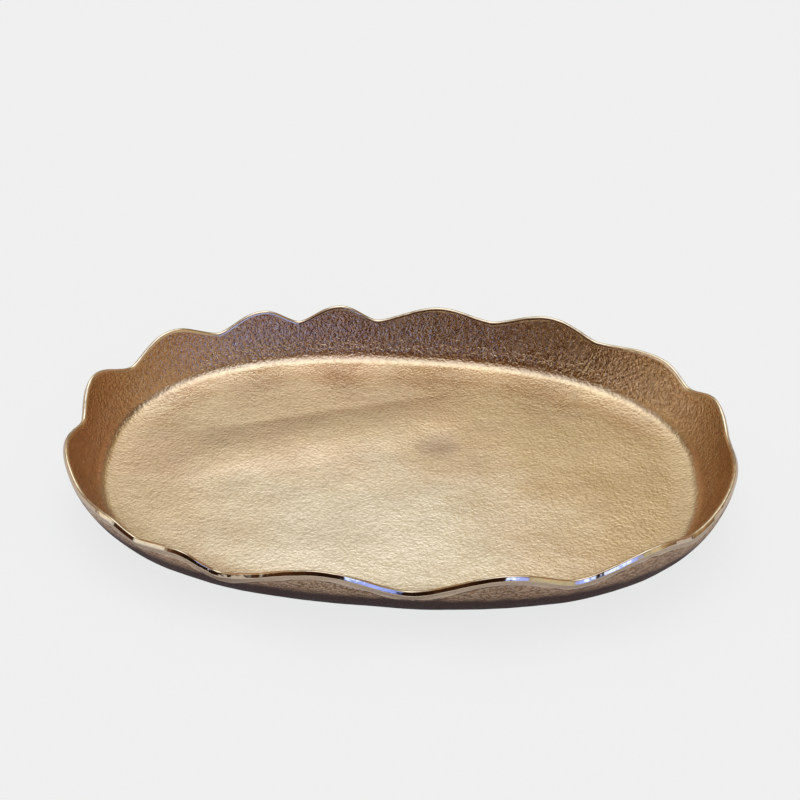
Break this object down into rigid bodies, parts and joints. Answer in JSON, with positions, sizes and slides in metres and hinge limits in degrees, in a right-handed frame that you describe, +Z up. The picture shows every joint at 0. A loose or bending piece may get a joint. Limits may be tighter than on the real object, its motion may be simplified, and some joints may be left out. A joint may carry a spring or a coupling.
{
  "type": "serving tray",
  "caption": "Shallow oval serving tray cast in one piece of brass, with a leaning wall, an irregular wavy rim and small felt pads under a flat base.",
  "frame": {"origin": "the middle of the tray on the table, in the plane of the felt pads' undersides", "axes": "+X along the tray's length, +Y across it, +Z up out of the hollow"},
  "size_m": [0.3968, 0.2747, 0.045],
  "materials": {
    "cast_brass": "sand-cast champagne brass with a fine pebbled grain, a satin ground band below the rim and a polished rounded rim",
    "felt": "pressed wool felt, dark brown"
  },
  "bodies": {
    "root": {"tray_casting": "cast_brass", "felt_pad_back_right": "felt", "felt_pad_back_left": "felt", "felt_pad_front_left": "felt", "felt_pad_front_right": "felt"}
  },
  "joints": []
}
